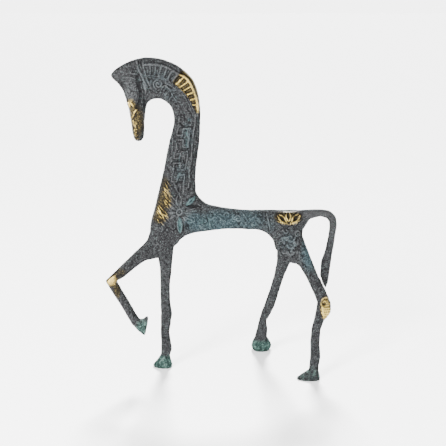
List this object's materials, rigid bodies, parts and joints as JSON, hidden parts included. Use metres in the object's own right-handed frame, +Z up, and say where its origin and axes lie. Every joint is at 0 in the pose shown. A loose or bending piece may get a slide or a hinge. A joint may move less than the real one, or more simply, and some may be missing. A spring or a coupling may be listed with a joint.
{
  "type": "horse statuette",
  "caption": "Slender cast bronze horse in archaic Greek style, walking with a foreleg raised, its arched neck, barrel and haunch covered with low raised ornament.",
  "frame": {"origin": "on the ground under the soles, at the middle of the figure's length and width", "axes": "+Z up; the horse looks along -X; its left side, with the full ornament and the raised foreleg, faces -Y"},
  "size_m": [0.1778, 0.0758, 0.2405],
  "materials": {
    "bronze": "dark grey patina with blue-green verdigris, rubbed back to polished gold bronze in places"
  },
  "bodies": {
    "root": {"horse": "bronze"}
  },
  "joints": []
}
